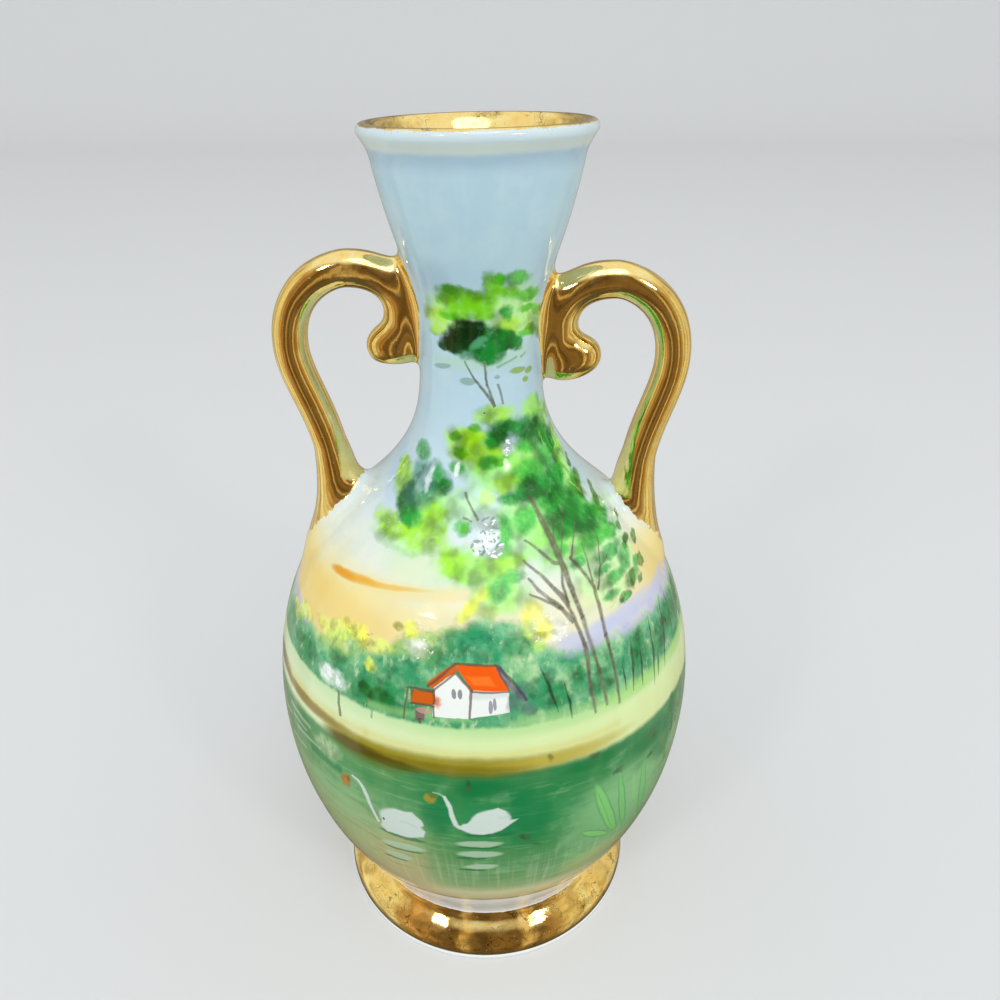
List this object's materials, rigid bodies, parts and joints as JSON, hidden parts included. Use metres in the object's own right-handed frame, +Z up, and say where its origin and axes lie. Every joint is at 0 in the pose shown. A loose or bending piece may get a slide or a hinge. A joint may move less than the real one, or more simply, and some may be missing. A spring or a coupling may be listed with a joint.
{
  "type": "miniature bud vase",
  "caption": "Miniature porcelain bud vase, round belly on a flared foot ring, slender flared neck and scrolled gilt handles.",
  "frame": {"origin": "the vase's axis, at the plane that its foot ring stands on", "axes": "+Z up along the axis, +X towards the right handle, -Y towards the painted front"},
  "size_m": [0.0598, 0.0598, 0.1142],
  "materials": {
    "glazed_porcelain": "white porcelain with painted colours and bright gold under a clear, glossy glaze"
  },
  "bodies": {
    "root": {"vase": "glazed_porcelain"}
  },
  "joints": []
}
